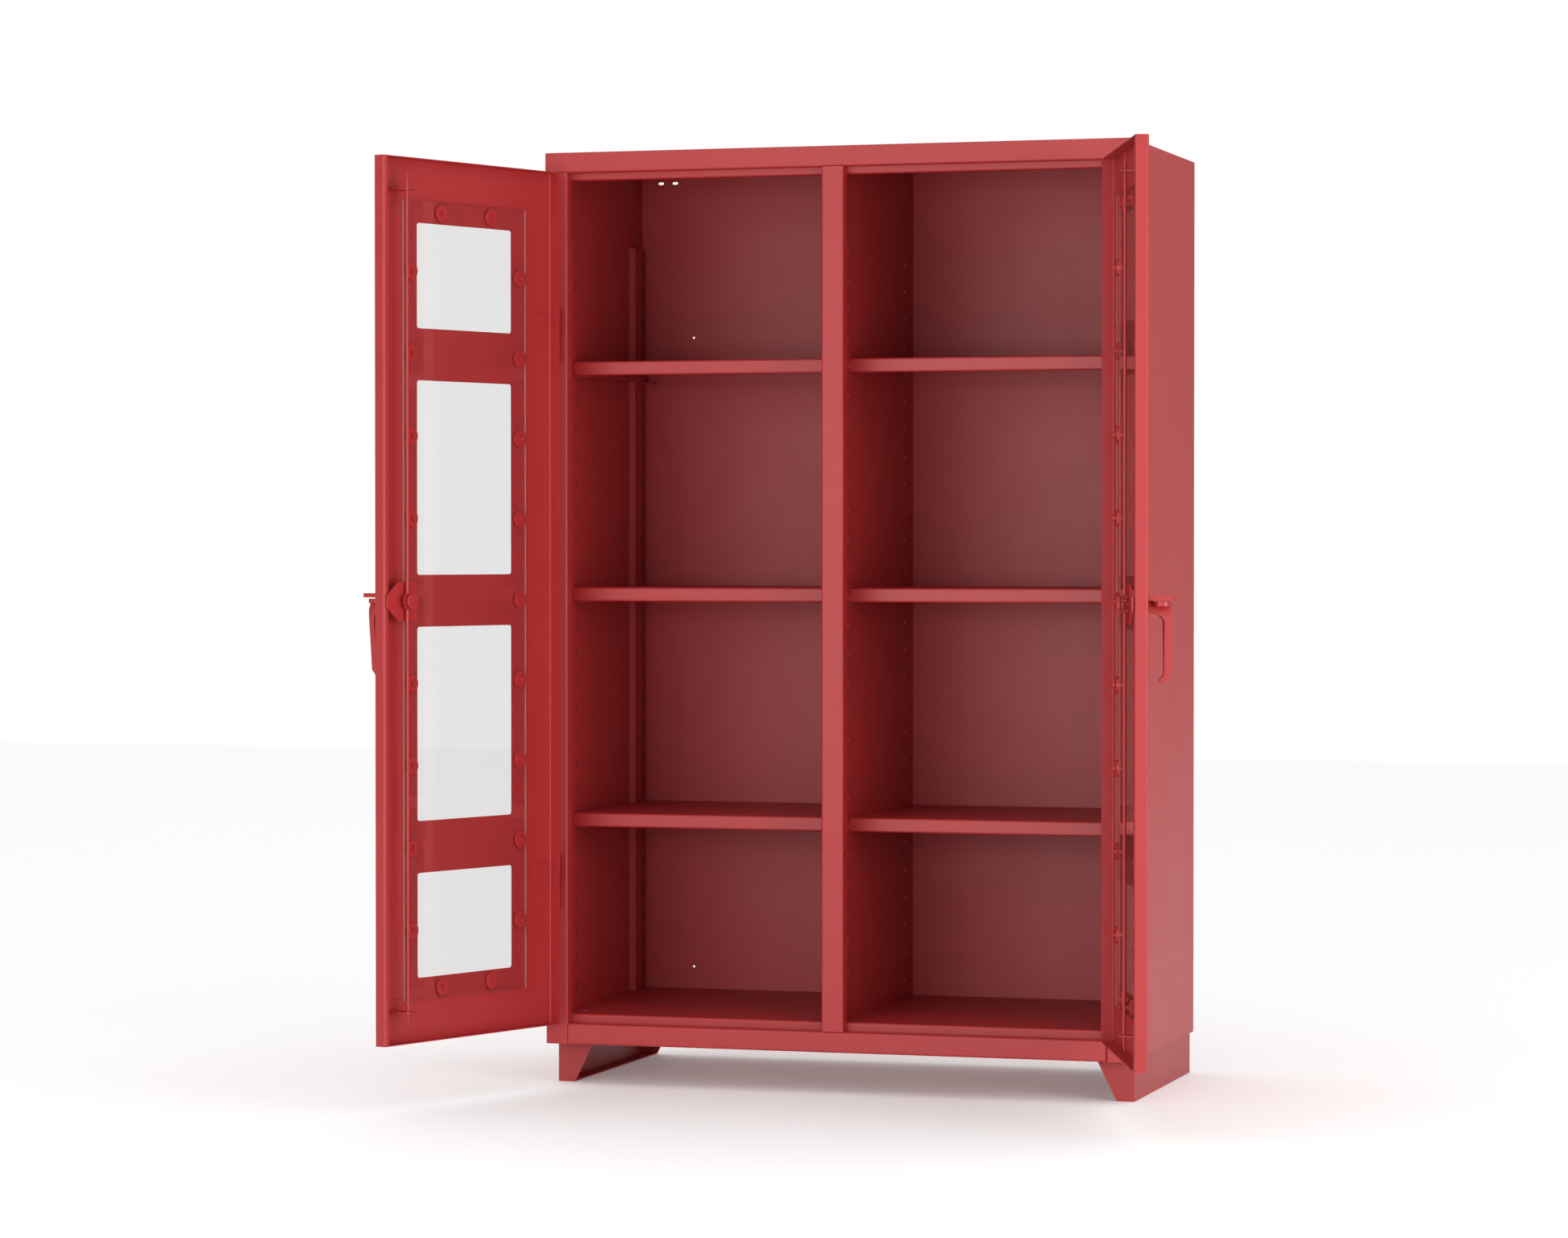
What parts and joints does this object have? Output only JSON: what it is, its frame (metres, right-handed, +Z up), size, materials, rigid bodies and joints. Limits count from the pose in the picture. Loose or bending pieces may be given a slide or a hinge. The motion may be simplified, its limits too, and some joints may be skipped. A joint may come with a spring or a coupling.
{
  "type": "flammable storage cabinet",
  "caption": "Heavy-duty two-bay steel storage cabinet with windowed double doors, turn handles, lock rods, tray shelves and raised legs.",
  "frame": {"origin": "floor level, at the centre of the rectangle of the four leg anchor holes", "axes": "+X to the cabinet's right seen from the front, +Y to the back, +Z up; the doors are on the -Y side"},
  "size_m": [1.6162, 1.1566, 1.901],
  "materials": {
    "body_paint": "satin",
    "door_paint": "satin",
    "shelf_paint": "satin",
    "latch_paint": "satin",
    "handle_paint": "satin",
    "hinge_paint": "satin",
    "standard_paint": "satin",
    "leg_paint": "satin",
    "plated_hardware": "satin",
    "clear_pane": "clear gloss"
  },
  "bodies": {
    "cabinet": {"back_panel": "body_paint", "bottom_rail": "body_paint", "centre_divider": "body_paint", "centre_post": "body_paint", "door_stop": "body_paint", "header_rail": "body_paint", "left_floor_pan": "body_paint", "left_front_standard": "standard_paint", "left_hinge_frame_leaves": "hinge_paint", "left_hinge_pins": "hinge_paint", "left_leg": "leg_paint", "left_lower_shelf": "shelf_paint", "left_middle_shelf": "shelf_paint", "left_rear_standard": "standard_paint", "left_side_panel": "body_paint", "left_upper_shelf": "shelf_paint", "right_floor_pan": "body_paint", "right_front_standard": "standard_paint", "right_hinge_frame_leaves": "hinge_paint", "right_hinge_pins": "hinge_paint", "right_leg": "leg_paint", "right_lower_shelf": "shelf_paint", "right_middle_shelf": "shelf_paint", "right_rear_standard": "standard_paint", "right_side_panel": "body_paint", "right_upper_shelf": "shelf_paint", "shelf_bolts": "plated_hardware", "shelf_clips": "plated_hardware", "top_panel": "body_paint"},
    "left_door": {"left_door_panel": "door_paint", "left_window_pane": "clear_pane", "left_pane_washers": "latch_paint", "left_pane_bolts": "latch_paint", "left_upper_rod_guide": "latch_paint", "left_lower_rod_guide": "latch_paint", "left_escutcheon": "handle_paint", "left_padlock_tab": "handle_paint", "left_hinge_door_leaves": "hinge_paint"},
    "left_handle": {"left_lever_handle": "handle_paint", "left_spindle": "latch_paint", "left_cam_plate": "latch_paint", "left_latch_hub": "latch_paint"},
    "left_upper_rod": {"left_upper_lock_rod": "latch_paint"},
    "left_lower_rod": {"left_lower_lock_rod": "latch_paint"},
    "right_door": {"right_door_panel": "door_paint", "right_window_pane": "clear_pane", "right_pane_washers": "latch_paint", "right_pane_bolts": "latch_paint", "right_upper_rod_guide": "latch_paint", "right_lower_rod_guide": "latch_paint", "right_escutcheon": "handle_paint", "right_padlock_tab": "handle_paint", "right_hinge_door_leaves": "hinge_paint"},
    "right_handle": {"right_lever_handle": "handle_paint", "right_spindle": "latch_paint", "right_cam_plate": "latch_paint", "right_latch_hub": "latch_paint"},
    "right_upper_rod": {"right_upper_lock_rod": "latch_paint"},
    "right_lower_rod": {"right_lower_lock_rod": "latch_paint"}
  },
  "joints": [
    {"name": "left_door_hinge", "type": "hinge", "parent": "cabinet", "child": "left_door", "pos_m": [-0.5862, -0.3374, 0.993], "axis": [0, 0, -1], "range_deg": [-109.6, 60]},
    {"name": "left_handle_turn", "type": "hinge", "parent": "left_door", "child": "left_handle", "pos_m": [-0.74823, -0.81746, 0.993], "axis": [0.9421, -0.3355, 0], "range_deg": [0, 90]},
    {"name": "left_upper_rod_slide", "type": "slide", "parent": "left_door", "child": "left_upper_rod", "axis": [0, 0, 1], "range_m": [0, 0.0291]},
    {"name": "left_lower_rod_slide", "type": "slide", "parent": "left_door", "child": "left_lower_rod", "axis": [0, 0, -1], "range_m": [0, 0.0291]},
    {"name": "right_door_hinge", "type": "hinge", "parent": "cabinet", "child": "right_door", "pos_m": [0.5862, -0.3374, 0.993], "axis": [0, 0, 1], "range_deg": [-109.6, 60]},
    {"name": "right_handle_turn", "type": "hinge", "parent": "right_door", "child": "right_handle", "pos_m": [0.74823, -0.81746, 0.993], "axis": [0.9421, 0.3355, 0], "range_deg": [0, 90]},
    {"name": "right_upper_rod_slide", "type": "slide", "parent": "right_door", "child": "right_upper_rod", "axis": [0, 0, 1], "range_m": [0, 0.0291]},
    {"name": "right_lower_rod_slide", "type": "slide", "parent": "right_door", "child": "right_lower_rod", "axis": [0, 0, -1], "range_m": [0, 0.0291]}
  ],
  "couplings": [
    {"joint": "left_upper_rod_slide", "follows": "left_handle_turn", "m_per_rad": 0.018462},
    {"joint": "left_lower_rod_slide", "follows": "left_handle_turn", "m_per_rad": 0.018462},
    {"joint": "right_upper_rod_slide", "follows": "right_handle_turn", "m_per_rad": 0.018462},
    {"joint": "right_lower_rod_slide", "follows": "right_handle_turn", "m_per_rad": 0.018462}
  ]
}
